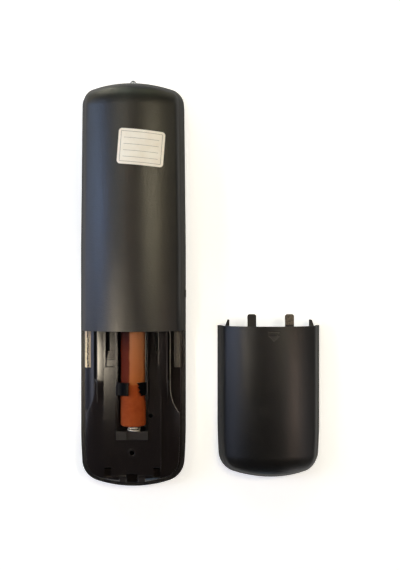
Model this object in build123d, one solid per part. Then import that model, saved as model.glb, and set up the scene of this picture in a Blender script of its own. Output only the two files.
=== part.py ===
"""A slim infrared remote control for a television, with its battery cover taken off.

The remote lies face down, its arched back up and its infrared end towards +Y. The cover
lies beside it at +X, outer side up. Lengths are in millimetres and +Z is up. The origin is
on the table, midway between the outer edges of the case and the cover, and midway between
the lower end of the case and the tip of the infrared diode.
"""
import os
from math import atan2, cos, pi, radians, sin, sqrt, tan
from build123d import *

# Case outline, seen from above
body_length = 173.0
body_width = 45.0
foot_narrowing = 1.6
head_narrowing = 1.4
foot_arc_radius = 50.4
head_arc_radius = 54.6
foot_corner_radius = 9.4
head_corner_radius = 7.3
foot_taper_length = 20.0
head_taper_length = 70.0
taper_blend_length = 5.0

# Case height and arched back
front_depth = 8.5
rear_depth = 14.5
back_arch_drop = 8.3
end_turn_run = 11.4
arch_side_room = 0.5
shoulder_radius = 5.0
rear_wall = 1.5
wall_lean = 14.0
gate_nub_reach = 0.25
gate_nub_length = 3.0
gate_nub_height = 1.4
gate_nub_up = 15.6

# Front shell and the decorative panel sunk in its face
front_wall = 1.8
front_edge_radius = 1.8
front_border = 3.6
panel_sink = 1.4
panel_thickness = 0.8
panel_gap = 0.1
floor_thickness = 1.2
seam_chamfer = 0.25
ledge_down = 29.2
ledge_pitch = 16.0
ledge_count = 3
ledge_length = 3.0
ledge_gap = 0.1

# Lap joint between the shells
lap_gap = 0.1
lap_thickness = 0.8
lap_depth = 1.2

# Keys, in rows measured down from the head of the case
key_height = 1.1
key_hole_gap = 0.3
key_seat_gap = 0.1
key_flange_width = 0.8
key_flange_thickness = 0.6
key_edge_radius = 0.45
key_corner_radius = 1.6
key_travel = 0.8
key_end_gap = 0.1
key_stem_radius = 1.6
key_stem_well_gap = 0.4
key_side_margin = 2.1
key_gap_x = 3.0
oval_key_length = 4.6
digit_key_length = 6.2
rocker_key_length = 8.6
colour_key_length = 3.6
colour_gap_x = 2.4
round_key_radius = 4.0
ok_key_radius = 4.6
ring_inner_radius = 6.8
ring_outer_radius = 12.6
ring_split = 2.0
power_row_down = 12.5
function_row_down = 24.0
colour_row_down = 33.5
ring_down = 54.5
menu_row_down = 74.0
rocker_row_down = 85.5
rocker_pitch = 10.8
digit_row_down = 110.0
digit_pitch = 10.5

# Keypad mat, circuit board and the posts that carry them
mat_thickness = 0.8
mat_end_inset = 1.0
mat_inset = 3.9
board_thickness = 1.2
board_inset = 3.6
board_head_gap = 5.0
board_tail = 11.0
post_radius = 1.2
post_gap = 0.3
peg_radius = 0.7
peg_gap = 0.1
peg_stand = 0.3
post_rows_down = (19.1, 78.75, 115.25, 136.25)

# Cells, their tray and the contacts, measured down from the bay's straight edge
cell_radius = 5.25
cell_length = 44.5
cell_edge_radius = 0.7
cell_nub_radius = 1.9
cell_nub_height = 0.8
cell_shift_x = 0.45
cell_foot_down = 40.0
tray_side_gap = 0.5
tray_floor_gap = 0.15
tray_board_gap = 0.4
tray_wall = 1.0
tray_floor = 0.8
tray_rim_height = 6.0
tray_end_wall = 1.2
slot_gap = 0.1
raised_wall_height = 8.9
raised_wall_down = 29.2
strap_head_down = 21.4
strap_foot_down = 28.2
strap_gap = 0.2
strap_thickness = 1.1
strap_root_rise = 1.0
strap_left_reach = 0.9
strap_right_reach = 3.2
strap_break_down = 26.8
strap_break_teeth = 3
strap_tooth_depth = 0.7
strap_tooth_run = 0.7
strap_break_lean = 0.4
strap_break_slant = 1.5
spring_wire_radius = 0.25
spring_base_radius = 2.45
spring_tip_radius = 1.45
spring_turns = 2.25
spring_room = 2.5
spring_block_gap = 0.05
holder_length = 3.6
holder_height = 7.6
holder_slot_width = 4.6
holder_slot_depth = 1.0
contact_thickness = 0.4
contact_width = 7.0
contact_leg_width = 2.0
contact_gap = 0.1
lead_hole_gap = 0.3

# Battery bay, measured up from the foot of the case or down from the bay's straight edge
bay_length = 67.2
cover_gap = 0.3
bulkhead_set_back = 1.8
bulkhead_thickness = 1.2
window_gap = 0.3
deck_side_gap = 0.2
deck_height = 6.0
deck_arch_drop = 3.5
deck_foot_run = 5.4
deck_thickness = 1.2
deck_sheet = 1.3
panel_side_margin = 10.4
panel_height = 5.5
panel_foot_up = 5.9
panel_corner_radius = 2.6
panel_relief = 0.15
left_relief_down = 36.9
right_relief_down = 28.7
side_pocket_margin = 6.4
side_pocket_bend_down = 24.0
side_pocket_foot_down = 34.9
side_pocket_foot_margin = 2.95
side_block_margin = 4.9
side_block_down = 15.9
side_block_height = 1.5
side_block_round = 0.35
rail_radius = 1.9
rail_height = 3.4
rail_down = 20.7
tab_pocket_width = 4.25
tab_pocket_down = 15.4
tab_slot_width = 1.1
stair_head_down = 8.9
stair_foot_down = 13.2
stair_count = 5
stair_height = 2.9
pin_hole_radius = 1.0
pin_boss_radius = 1.7
pin_boss_height = 0.25
side_hole_x = 7.8
side_hole_down = 36.0
centre_hole_down = 51.7
latch_notch_half_width = 2.4
latch_rib_width = 3.2
latch_rib_length = 6.7
latch_rib_round = 0.8
foot_recess_margin = 0.35
foot_recess_width = 2.9
foot_recess_length = 4.4
foot_recess_up = 4.9
foot_recess_depth = 2.4

# Battery cover
tab_inner_x = 6.2
tab_width = 3.7
tab_reach = 5.2
tab_root = 5.0
tab_thickness = 1.4
tab_roof_gap = 0.4
tab_hook_depth = 0.9
tab_hook_length = 1.4
tab_rib_width = 1.0
hook_margin = 5.05
hook_thickness = 1.7
hook_height = 3.6
hook_reach = 2.6
hook_tip_thickness = 0.8
hook_root = 9.0
hook_foot_gap = 0.2
cover_rib_margin = 8.0
cover_rib_thickness = 1.0
cover_rib_depth = 2.4
cover_rib_down = 10.7
cover_rib_foot_up = 10.5
latch_width = 3.6
latch_thickness = 1.2
latch_gap = 0.5
arrow_width = 4.8
arrow_depth = 0.3
arrow_bar_height = 0.55
arrow_shift_x = 1.1
arrow_bar_down = 2.6
arrow_head_down = 4.1
arrow_length = 2.5
lay_gap = 13.9
lay_shift_y = 1.9

# Infrared diode, measured down from the head of the case
led_radius = 1.5
led_flange_radius = 1.9
led_flange_length = 1.0
led_flange_down = 4.1
led_reach = 1.3
led_hole_gap = 0.1
lead_width = 0.5
lead_spread = 1.27
lead_bend_down = 6.9

# Parts on the circuit board, measured up from the tray's end or down from the head of the case
chip_width = 7.6
chip_length = 12.8
chip_height = 2.2
chip_x = 9.5
chip_up = 12.7
chip_lead_count = 8
chip_lead_pitch = 1.27
chip_lead_reach = 1.2
chip_lead_width = 0.45
chip_lead_height = 0.3
resonator_width = 7.4
resonator_depth = 3.0
resonator_height = 5.4
resonator_x = -8.0
resonator_up = 8.7
capacitor_radius = 3.15
capacitor_height = 9.0
capacitor_x = -8.5
capacitor_up = 20.7
transistor_radius = 2.3
transistor_height = 4.6
transistor_x = 4.5
transistor_down = 13.5
small_part_width = 1.6
small_part_length = 0.8
small_part_height = 0.6
small_part_x = -13.0
small_part_down = 22.5
small_part_pitch = 2.4
small_part_count = 4

# Paper label on the back
label_width = 19.0
label_length = 14.6
label_corner_radius = 1.4
label_thickness = 0.15
label_x = 4.4
label_down = 30.0
label_turn = -4.5

# Heights that follow from the stack of parts, measured from the table
floor_low = panel_sink + panel_thickness
floor_top = floor_low + floor_thickness
key_low = panel_sink - key_height
flange_low = floor_top + key_seat_gap
flange_top = flange_low + key_flange_thickness
mat_low = flange_top + key_travel + key_end_gap
board_low = mat_low + mat_thickness
board_top = board_low + board_thickness
stem_top = board_low - key_travel - key_end_gap
tray_low = board_top + tray_board_gap
tray_floor_top = tray_low + tray_floor
tray_rim = tray_low + tray_rim_height
raised_wall_top = tray_low + raised_wall_height
holder_top = tray_low + holder_height
cell_z = tray_floor_top + tray_floor_gap + cell_radius
back_top = front_depth + rear_depth
pocket_floor = front_depth + deck_thickness
panel_top = front_depth + panel_height
stair_top = pocket_floor + stair_height
rail_axis_z = front_depth + rail_height
foot_recess_floor = panel_top - foot_recess_depth
block_top = pocket_floor + side_block_height
hook_low = block_top + hook_foot_gap
hook_top = hook_low + hook_height

# Places across the case that follow from its width
half_width = body_width / 2
foot_width = body_width - foot_narrowing
head_width = body_width - head_narrowing
deck_inset = rear_wall + deck_side_gap
deck_half_width = half_width - deck_inset
back_arch_radius = (half_width**2 + back_arch_drop**2) / (2 * back_arch_drop)
deck_arch_radius = (deck_half_width**2 + deck_arch_drop**2) / (2 * deck_arch_drop)
channel_half_width = cell_radius + tray_side_gap
tray_half_width = channel_half_width + tray_wall
slot_half_width = tray_half_width + slot_gap
tab_pocket_outer_x = slot_half_width + tab_pocket_width
panel_half_width = half_width - panel_side_margin
side_pocket_x = half_width - side_pocket_margin
side_pocket_foot_x = half_width - side_pocket_foot_margin
side_block_x = half_width - side_block_margin
rail_x = side_pocket_x - rail_radius
latch_rib_outer_x = latch_notch_half_width + latch_rib_width
foot_recess_x = panel_half_width - foot_recess_margin - foot_recess_width / 2
hook_x = half_width - hook_margin
cover_rib_x = half_width - cover_rib_margin
key_field = body_width - 2 * (front_border + key_side_margin)
key_width = (key_field - 2 * key_gap_x) / 3
key_pitch = key_width + key_gap_x
colour_key_width = (key_field - 3 * colour_gap_x) / 4
colour_pitch = colour_key_width + colour_gap_x
post_x = key_pitch / 2

# Places along the case that follow from its length
head_tip = body_length / 2
foot_tip = -body_length / 2
head_turn_y = head_tip - end_turn_run
foot_turn_y = foot_tip + end_turn_run
bay_edge_y = foot_tip + bay_length
deck_foot_turn_y = foot_tip + deck_inset + deck_foot_run
bulkhead_foot_y = bay_edge_y + bulkhead_set_back
bulkhead_head_y = bulkhead_foot_y + bulkhead_thickness
cover_edge_y = bay_edge_y - cover_gap
panel_foot_y = foot_tip + panel_foot_up
tab_pocket_foot_y = bay_edge_y - tab_pocket_down
stair_head_y = bay_edge_y - stair_head_down
stair_foot_y = bay_edge_y - stair_foot_down
rail_foot_y = bay_edge_y - rail_down
side_pocket_bend_y = bay_edge_y - side_pocket_bend_down
side_pocket_foot_y = bay_edge_y - side_pocket_foot_down
latch_head_y = foot_tip + latch_rib_length
cell_foot_y = bay_edge_y - cell_foot_down
cell_head_y = cell_foot_y + cell_length
tray_end_y = cell_head_y + cell_length + contact_thickness + tray_end_wall
holder_head_y = cell_foot_y - spring_room
holder_foot_y = holder_head_y - holder_length
strap_head_y = bay_edge_y - strap_head_down
strap_foot_y = bay_edge_y - strap_foot_down
strap_break_y = bay_edge_y - strap_break_down
lead_bend_y = head_tip - lead_bend_down
board_head_y = head_tip - board_head_gap
board_foot_y = head_tip - digit_row_down - 3 * digit_pitch - board_tail
post_rows = [head_tip - down for down in post_rows_down]

# Where the case and the cover lie
case_x = -(lay_gap + body_width) / 2
case_y = -led_reach / 2
cover_x = (lay_gap + body_width) / 2
cover_y = case_y + lay_shift_y

FAR = 2 * body_length


def slab(low_x, high_x, low_y, high_y, low_z, high_z):
    """A plain block between two corners."""
    block = Box(high_x - low_x, high_y - low_y, high_z - low_z, align=(Align.MIN, Align.MIN, Align.MIN))
    return Pos(low_x, low_y, low_z) * block


def post(radius, x, y, low_z, high_z):
    """An upright cylinder."""
    column = Cylinder(radius, high_z - low_z, align=(Align.CENTER, Align.CENTER, Align.MIN))
    return Pos(x, y, low_z) * column


def rod(radius, low_y, high_y, x, z):
    """A cylinder that lies along Y."""
    return Pos(x, (low_y + high_y) / 2, z) * Rot(90, 0, 0) * Cylinder(radius, high_y - low_y)


def prism(face, low_z, high_z):
    """A flat face at height 0 raised between two heights."""
    return extrude(Pos(0, 0, low_z) * face, amount=high_z - low_z, dir=(0, 0, 1))


def both_sides(shape):
    """A shape at +X together with its mirror image at -X."""
    return shape + mirror(shape, Plane.YZ)


def case_outline(inset):
    """The case seen from above, drawn inward by an inset."""
    half = half_width - inset
    foot_half = foot_width / 2 - inset
    head_half = head_width / 2 - inset
    foot_arc = foot_arc_radius - inset
    head_arc = head_arc_radius - inset
    foot_y = foot_tip + inset + foot_arc - sqrt(foot_arc**2 - foot_half**2)
    head_y = head_tip - inset - head_arc + sqrt(head_arc**2 - head_half**2)
    foot_taper_y = foot_tip + foot_taper_length
    head_taper_y = head_tip - head_taper_length
    face = make_face(
        [
            ThreePointArc((-foot_half, foot_y), (0, foot_tip + inset), (foot_half, foot_y)),
            Line((foot_half, foot_y), (half, foot_taper_y)),
            Line((half, foot_taper_y), (half, head_taper_y)),
            Line((half, head_taper_y), (head_half, head_y)),
            ThreePointArc((head_half, head_y), (0, head_tip - inset), (-head_half, head_y)),
            Line((-head_half, head_y), (-half, head_taper_y)),
            Line((-half, head_taper_y), (-half, foot_taper_y)),
            Line((-half, foot_taper_y), (-foot_half, foot_y)),
        ]
    )
    corners = face.vertices().sort_by(Axis.Y)
    face = fillet(corners[:2], foot_corner_radius - inset)
    corners = face.vertices().sort_by(Axis.Y)
    face = fillet(corners[-2:], head_corner_radius - inset)
    bends = [v for v in face.vertices() if abs(v.Y - foot_taper_y) < 0.01]
    foot_lean = atan2(half - foot_half, foot_taper_y - foot_y)
    return fillet(bends, taper_blend_length / tan(foot_lean / 2))


def ring_band(inner_inset, outer_inset, low_z, high_z):
    """A wall that follows the case outline between two insets."""
    outer = prism(case_outline(outer_inset), low_z, high_z)
    return outer - prism(case_outline(inner_inset), low_z - 1, high_z + 1)


def back_block(inset):
    """The room inside the case over its seam, with walls that lean inward as they rise."""
    height = rear_depth + 1
    lean = height * tan(radians(wall_lean))
    low = Pos(0, 0, front_depth) * case_outline(inset)
    high = Pos(0, 0, front_depth + height) * case_outline(inset + lean)
    return loft([low, high], ruled=True)


def loaf(height, arch_radius, reach, foot_y, head_y):
    """A long arch on the parting plane, turned down to that plane at both of its ends."""
    side = front_depth + height - arch_radius + sqrt(arch_radius**2 - reach**2)
    top = front_depth + height
    section = make_face(
        [
            Line((-reach, 0, front_depth), (reach, 0, front_depth)),
            Line((reach, 0, front_depth), (reach, 0, side)),
            ThreePointArc((reach, 0, side), (0, 0, top), (-reach, 0, side)),
            Line((-reach, 0, side), (-reach, 0, front_depth)),
        ]
    )
    foot_section = Pos(0, foot_y, 0) * section
    head_section = Pos(0, head_y, 0) * section
    middle = extrude(foot_section, amount=head_y - foot_y, dir=(0, 1, 0))
    foot_end = revolve(foot_section, Axis((0, foot_y, front_depth), (1, 0, 0)), 90)
    head_end = revolve(head_section, Axis((0, head_y, front_depth), (1, 0, 0)), -90)
    return middle + foot_end + head_end


def back_loaf(depth):
    """The arch of the back, or a surface at an even depth below it."""
    reach = half_width + arch_side_room
    return loaf(rear_depth - depth, back_arch_radius - depth, reach, foot_turn_y, head_turn_y)


def deck_loaf(depth):
    """The arch of the bay's floor, or a surface at an even depth below it."""
    reach = deck_half_width + arch_side_room
    return loaf(deck_height - depth, deck_arch_radius - depth, reach, deck_foot_turn_y, head_turn_y)


def round_shoulder(solid, radius):
    """Rounds the edge where an arched roof meets the leaning wall of the case."""
    steep = sin(radians(2 * wall_lean))
    walls = ShapeList(f for f in solid.faces() if abs(f.normal_at().Z) < steep)
    roofs = ShapeList(f for f in solid.faces() if f.normal_at().Z > steep)
    return fillet(walls.edges() & roofs.edges(), radius)


def make_case_back():
    """The outer body of the arched back and the hollow inside it, before the bay is cut."""
    outer = back_block(0) & back_loaf(0)
    outer = round_shoulder(outer, shoulder_radius)
    inner = back_block(rear_wall) & back_loaf(rear_wall)
    inner = round_shoulder(inner, shoulder_radius - rear_wall)
    return outer, inner


def side_pocket_face(grow):
    """Half of the bay's side pockets, seen from above, with an S-shaped lower end."""
    inner = side_pocket_x - grow
    outer = body_width
    foot_x = side_pocket_foot_x - grow
    bend = TangentArc((inner, side_pocket_bend_y), (foot_x, side_pocket_foot_y - grow), tangent=(0, -1))
    return make_face(
        [
            bend,
            Line((foot_x, side_pocket_foot_y - grow), (outer, side_pocket_foot_y - grow)),
            Line((outer, side_pocket_foot_y - grow), (outer, bulkhead_head_y)),
            Line((outer, bulkhead_head_y), (inner, bulkhead_head_y)),
            Line((inner, bulkhead_head_y), (inner, side_pocket_bend_y)),
        ]
    )


def make_stairs():
    """The fine stepped ramp at the foot of a tab pocket."""
    run = (stair_head_y - stair_foot_y) / stair_count
    rise = (stair_top - pocket_floor) / stair_count
    points = [(stair_head_y, pocket_floor - 1)]
    for step in range(stair_count):
        y = stair_head_y - step * run
        z = pocket_floor + (step + 1) * rise
        points.append((y, z))
        points.append((y - run, z))
    points.append((tab_pocket_foot_y, stair_top))
    points.append((tab_pocket_foot_y, pocket_floor - 1))
    corners = [(slot_half_width, y, z) for y, z in points]
    face = make_face(Polyline(corners, close=True))
    return extrude(face, amount=tab_pocket_outer_x - slot_half_width, dir=(1, 0, 0))


def make_deck():
    """The floor of the battery bay, with its raised panel, pockets, rails and latch."""
    room = back_block(deck_inset)
    body = room & deck_loaf(0)
    under = back_block(deck_inset + deck_sheet) & deck_loaf(deck_sheet)
    bay = slab(-FAR, FAR, -FAR, bulkhead_head_y, front_depth, back_top)

    panel_face = Rectangle(2 * panel_half_width, bulkhead_head_y - panel_foot_y)
    panel_face = fillet(panel_face.vertices().sort_by(Axis.Y)[:2], panel_corner_radius)
    panel_face = Pos(0, (bulkhead_head_y + panel_foot_y) / 2) * panel_face
    body = body - prism(panel_face, panel_top, back_top)
    body = body + prism(panel_face, panel_top - deck_sheet, panel_top)
    rail = rod(rail_radius, rail_foot_y, bulkhead_head_y, rail_x, rail_axis_z)
    rail = rail + Pos(rail_x, rail_foot_y, rail_axis_z) * Sphere(rail_radius)
    rail = rail & slab(0, side_pocket_x, -FAR, bulkhead_head_y, pocket_floor, back_top)
    body = body + both_sides(rail)

    side_pocket = side_pocket_face(0)
    side_keep = prism(side_pocket_face(deck_sheet), front_depth, back_top)
    tab_keep = slab(
        0,
        tab_pocket_outer_x + deck_sheet,
        tab_pocket_foot_y - deck_sheet,
        bulkhead_head_y,
        front_depth,
        back_top,
    )
    foot_keep = slab(-FAR, FAR, -FAR, latch_head_y + deck_sheet, front_depth, back_top)
    holes = ((side_hole_x, bay_edge_y - side_hole_down), (0, bay_edge_y - centre_hole_down))
    hole_keep = Part() + [post(pin_boss_radius, x, y, front_depth, back_top) for x, y in holes]
    under = under - both_sides(side_keep + tab_keep) - foot_keep - hole_keep
    body = (body & bay) - under

    body = body - both_sides(prism(side_pocket, pocket_floor, back_top))
    tab_pocket = slab(
        slot_half_width, tab_pocket_outer_x, tab_pocket_foot_y, bulkhead_head_y, pocket_floor, back_top
    )
    tab_slot_inner_x = tab_pocket_outer_x - tab_slot_width
    tab_slot = slab(
        tab_slot_inner_x, tab_pocket_outer_x, stair_head_y, bulkhead_head_y, front_depth - 1, back_top
    )
    body = body - both_sides(tab_pocket + tab_slot) + both_sides(make_stairs())
    block = slab(
        side_block_x,
        deck_half_width,
        bay_edge_y - side_block_down,
        bulkhead_foot_y,
        front_depth + deck_thickness / 2,
        block_top,
    )
    block = fillet(block.edges().filter_by(Axis.Y).sort_by(Axis.Z)[-2:], side_block_round)
    body = body + both_sides(block & room)

    relief_low = panel_top - panel_relief
    left_foot_y = bay_edge_y - left_relief_down
    right_foot_y = bay_edge_y - right_relief_down
    left_relief = slab(-panel_half_width, 0, left_foot_y, tab_pocket_foot_y, relief_low, panel_top)
    right_relief = slab(0, panel_half_width, right_foot_y, tab_pocket_foot_y, relief_low, panel_top)
    body = body - left_relief - right_relief
    for x, y in holes:
        body = body + post(pin_boss_radius, x, y, front_depth, panel_top + pin_boss_height)
        body = body - post(pin_hole_radius, x, y, front_depth - 1, back_top)

    recess_foot_y = foot_tip + foot_recess_up
    recess = slab(
        foot_recess_x - foot_recess_width / 2,
        foot_recess_x + foot_recess_width / 2,
        recess_foot_y,
        recess_foot_y + foot_recess_length,
        foot_recess_floor,
        back_top,
    )
    notch = slab(
        -latch_notch_half_width, latch_notch_half_width, -FAR, latch_head_y, pocket_floor, back_top
    )
    rib = slab(
        latch_notch_half_width,
        latch_rib_outer_x,
        foot_tip,
        latch_head_y,
        front_depth,
        panel_top,
    )
    rib = fillet(rib.edges().filter_by(Axis.Y).sort_by(Axis.Z)[-2:], latch_rib_round)
    body = body - both_sides(recess) + both_sides(rib & room) - notch

    slot = slab(
        -slot_half_width,
        slot_half_width,
        holder_foot_y - slot_gap,
        bulkhead_head_y + 1,
        front_depth - 1,
        back_top,
    )
    return body - slot


def make_bulkhead(outer):
    """The wall under the back's straight edge, with windows for the cover's tabs and hooks."""
    low_y = bulkhead_foot_y
    wall = outer & slab(-FAR, FAR, low_y, bulkhead_head_y, front_depth, back_top)
    tunnel = rod(slot_half_width, low_y - 1, bulkhead_head_y + 1, 0, cell_z)
    tunnel = tunnel + slab(
        -slot_half_width, slot_half_width, low_y - 1, bulkhead_head_y + 1, front_depth - 1, cell_z
    )
    tab_window = slab(
        tab_inner_x - window_gap,
        tab_pocket_outer_x,
        low_y - 1,
        bulkhead_head_y + 1,
        pocket_floor,
        tab_top() + window_gap,
    )
    hook_window = slab(
        side_pocket_x,
        hook_x + hook_thickness + window_gap,
        low_y - 1,
        bulkhead_head_y + 1,
        pocket_floor,
        hook_top + window_gap,
    )
    hook_window = hook_window & back_block(rear_wall)
    return wall - tunnel - both_sides(tab_window + hook_window)


def make_rear_shell(outer, inner):
    """The arched back in one moulding with the floor of the battery bay."""
    arch = (outer - inner) & slab(-FAR, FAR, bay_edge_y, FAR, 0, FAR)
    lap_upper = ring_band(
        front_wall + lap_gap + lap_thickness, rear_wall - lap_gap, front_depth, front_depth + lap_depth
    )
    lap_lower = ring_band(
        front_wall + lap_gap + lap_thickness, front_wall + lap_gap, front_depth - lap_depth, front_depth
    )
    lap = (lap_upper + lap_lower) & slab(-FAR, FAR, bulkhead_head_y, FAR, 0, FAR)
    led_hole = rod(led_radius + led_hole_gap, lead_bend_y, FAR, 0, front_depth)
    nub_y = bay_edge_y + gate_nub_up
    nub = slab(
        half_width - rear_wall / 2,
        half_width + gate_nub_reach,
        nub_y - gate_nub_length / 2,
        nub_y + gate_nub_length / 2,
        front_depth,
        front_depth + gate_nub_height,
    )
    return arch + make_bulkhead(outer) + make_deck() + lap + nub - led_hole


def make_front_shell(key_holes):
    """The shallow tray that carries the panel, the keys and the board."""
    shell = prism(case_outline(0), 0, front_depth)
    shell = fillet(shell.faces().sort_by(Axis.Z)[0].edges(), front_edge_radius)
    shell = chamfer(shell.faces().sort_by(Axis.Z)[-1].edges(), seam_chamfer)
    shell = shell - prism(case_outline(front_wall), floor_top, front_depth + 1)
    shell = shell - prism(case_outline(front_border), -1, floor_low)
    shell = shell - prism(key_holes, -1, floor_top + 1)
    for y in post_rows:
        for x in (-post_x, post_x):
            shell = shell + post(post_radius, x, y, floor_low, board_low)
            shell = shell + post(peg_radius, x, y, board_low, board_top + peg_stand)
    for place in range(ledge_count):
        y = bay_edge_y - ledge_down + (place - (ledge_count - 1) / 2) * ledge_pitch
        ledge = slab(
            half_width - board_inset + ledge_gap,
            half_width - front_wall / 2,
            y - ledge_length / 2,
            y + ledge_length / 2,
            floor_low,
            front_depth,
        )
        shell = shell + both_sides(ledge)
    led_hole = rod(led_radius + led_hole_gap, lead_bend_y, FAR, 0, front_depth)
    return shell - led_hole


def make_face_panel(key_holes):
    """The thin decorative sheet set in the front of the shell."""
    plate = prism(case_outline(front_border + panel_gap), panel_sink, floor_low)
    return plate - prism(key_holes, 0, floor_top)


def make_board():
    """The circuit board, held on the pegs of the front shell."""
    board = prism(case_outline(board_inset), board_low, board_top)
    board = board & slab(-FAR, FAR, board_foot_y, board_head_y, board_low, board_top)
    for y in post_rows:
        for x in (-post_x, post_x):
            board = board - post(peg_radius + peg_gap, x, y, board_low - 1, board_top + 1)
    return board


def make_mat(key_centres):
    """The rubber sheet under the keys, with a well for each key's contact stem."""
    mat = prism(case_outline(mat_inset), mat_low, board_low)
    foot_y = board_foot_y + mat_end_inset
    mat = mat & slab(-FAR, FAR, foot_y, board_head_y - mat_end_inset, mat_low, board_low)
    well_radius = key_stem_radius + key_stem_well_gap
    wells = [post(well_radius, x, y, mat_low - 1, board_low + 1) for x, y in key_centres]
    posts = [
        post(post_radius + post_gap, x, y, mat_low - 1, board_low + 1)
        for y in post_rows
        for x in (-post_x, post_x)
    ]
    return mat - wells - posts


def ring_quarter(turn):
    """One quarter of the ring of arrow keys, turned about the ring's centre."""
    wedge = Rot(0, 0, 45) * Rectangle(FAR, FAR, align=(Align.MIN, Align.MIN))
    quarter = (Circle(ring_outer_radius) - Circle(ring_inner_radius)) & Pos(0, ring_split / sqrt(2)) * wedge
    quarter = fillet(quarter.vertices(), key_flange_width)
    return Rot(0, 0, turn) * quarter


def key_layout():
    """Name, outline and centre of each key. The face points down, so the viewer's left is at +X."""
    left, right = key_pitch, -key_pitch
    ring_reach = (ring_inner_radius + ring_outer_radius) / 2
    oval = SlotOverall(key_width, oval_key_length)
    digit = RectangleRounded(key_width, digit_key_length, key_corner_radius)
    rocker = RectangleRounded(key_width, rocker_key_length, key_corner_radius)
    colour = RectangleRounded(colour_key_width, colour_key_length, key_corner_radius)
    round_key = Circle(round_key_radius)
    power_y = head_tip - power_row_down
    ring_y = head_tip - ring_down
    rocker_up_y = head_tip - rocker_row_down
    rocker_down_y = rocker_up_y - rocker_pitch
    keys = {
        "key_power": (round_key, left, power_y),
        "key_source": (round_key, right, power_y),
        "key_ok": (Circle(ok_key_radius), 0, ring_y),
        "key_mute": (round_key, 0, (rocker_up_y + rocker_down_y) / 2),
        "key_volume_up": (rocker, left, rocker_up_y),
        "key_volume_down": (rocker, left, rocker_down_y),
        "key_programme_up": (rocker, right, rocker_up_y),
        "key_programme_down": (rocker, right, rocker_down_y),
    }
    for name, x in (("key_text", left), ("key_subtitle", 0), ("key_format", right)):
        keys[name] = (oval, x, head_tip - function_row_down)
    for name, x in (("key_menu", left), ("key_info", 0), ("key_back", right)):
        keys[name] = (oval, x, head_tip - menu_row_down)
    for place, name in enumerate(("key_red", "key_green", "key_yellow", "key_blue")):
        keys[name] = (colour, colour_pitch * (1.5 - place), head_tip - colour_row_down)
    for place, name in enumerate(("key_up", "key_right", "key_down", "key_left")):
        turn = 90 * place
        x = -ring_reach * sin(radians(turn))
        y = ring_reach * cos(radians(turn))
        quarter = Pos(-x, -y) * ring_quarter(turn)
        keys[name] = (quarter, x, ring_y + y)
    digits = ("1", "2", "3", "4", "5", "6", "7", "8", "9", "list", "0", "swap")
    for place, name in enumerate(digits):
        x = (left, 0, right)[place % 3]
        y = head_tip - digit_row_down - digit_pitch * (place // 3)
        keys["key_" + name] = (digit, x, y)
    return keys


def make_key(outline):
    """A key cap with the flange that keeps it in the case and the stem that meets the board."""
    cap = prism(outline, key_low, flange_low)
    cap = fillet(cap.faces().sort_by(Axis.Z)[0].edges(), key_edge_radius)
    flange = prism(offset(outline, key_flange_width), flange_low, flange_top)
    return cap + flange + post(key_stem_radius, 0, 0, flange_top, stem_top)


def broken_end():
    """What is left of the strap at +X, seen from above, with the jagged line where it has snapped."""
    tooth = (strap_head_y - strap_break_y) / strap_break_teeth
    points = []
    for place in range(strap_break_teeth):
        x = strap_right_reach + place * strap_break_lean
        y = strap_head_y - place * tooth
        points.append((x - strap_tooth_depth, y))
        points.append((x + strap_tooth_depth / 2, y - tooth * strap_tooth_run))
    points.append((strap_right_reach + strap_tooth_depth, strap_break_y))
    points.append((FAR, strap_break_y))
    points.append((FAR, strap_head_y))
    return make_face(Polyline(points, close=True))


def slanted_end():
    """What is left of the strap at -X, seen from above, torn along a slanting line."""
    torn_y = strap_foot_y + strap_break_slant
    points = [
        (-strap_left_reach, strap_head_y),
        (-strap_left_reach, torn_y),
        (-channel_half_width, torn_y),
        (-tray_half_width, strap_foot_y),
        (-FAR, strap_foot_y),
        (-FAR, strap_head_y),
    ]
    return make_face(Polyline(points, close=True))


def make_tray():
    """The trough for two cells in line, with the broken strap over the lower one."""
    tray = slab(-tray_half_width, tray_half_width, holder_head_y, tray_end_y, tray_low, tray_rim)
    tray = tray + slab(
        -tray_half_width,
        tray_half_width,
        bay_edge_y - raised_wall_down,
        bulkhead_foot_y - slot_gap,
        tray_rim,
        raised_wall_top,
    )
    tray = tray - slab(
        -channel_half_width,
        channel_half_width,
        holder_head_y,
        tray_end_y - tray_end_wall,
        tray_floor_top,
        back_top,
    )
    inner_radius = cell_radius + strap_gap + cell_shift_x
    strap = rod(inner_radius + strap_thickness, strap_foot_y, strap_head_y, 0, cell_z)
    strap = strap - rod(inner_radius, strap_foot_y - 1, strap_head_y + 1, 0, cell_z)
    strap = strap & slab(-tray_half_width, tray_half_width, -FAR, FAR, cell_z + strap_root_rise, back_top)
    left = strap & prism(slanted_end(), 0, FAR)
    right = strap & prism(broken_end(), 0, FAR)
    holder = slab(-tray_half_width, tray_half_width, holder_foot_y, holder_head_y, tray_low, holder_top)
    holder = holder - slab(
        -holder_slot_width / 2,
        holder_slot_width / 2,
        holder_foot_y - 1,
        holder_head_y + 1,
        holder_top - holder_slot_depth,
        back_top,
    )
    lead_hole = post(
        spring_wire_radius + lead_hole_gap,
        spring_base_radius + cell_shift_x,
        spring_base_y(),
        tray_low - 1,
        tray_floor_top + 1,
    )
    contact_slot = slab(
        -contact_leg_width / 2 - contact_gap,
        contact_leg_width / 2 + contact_gap,
        tray_end_y - tray_end_wall - contact_thickness - contact_gap,
        tray_end_y - tray_end_wall,
        tray_low - 1,
        tray_floor_top + 1,
    )
    return tray + left + right + holder - lead_hole - contact_slot


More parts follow.
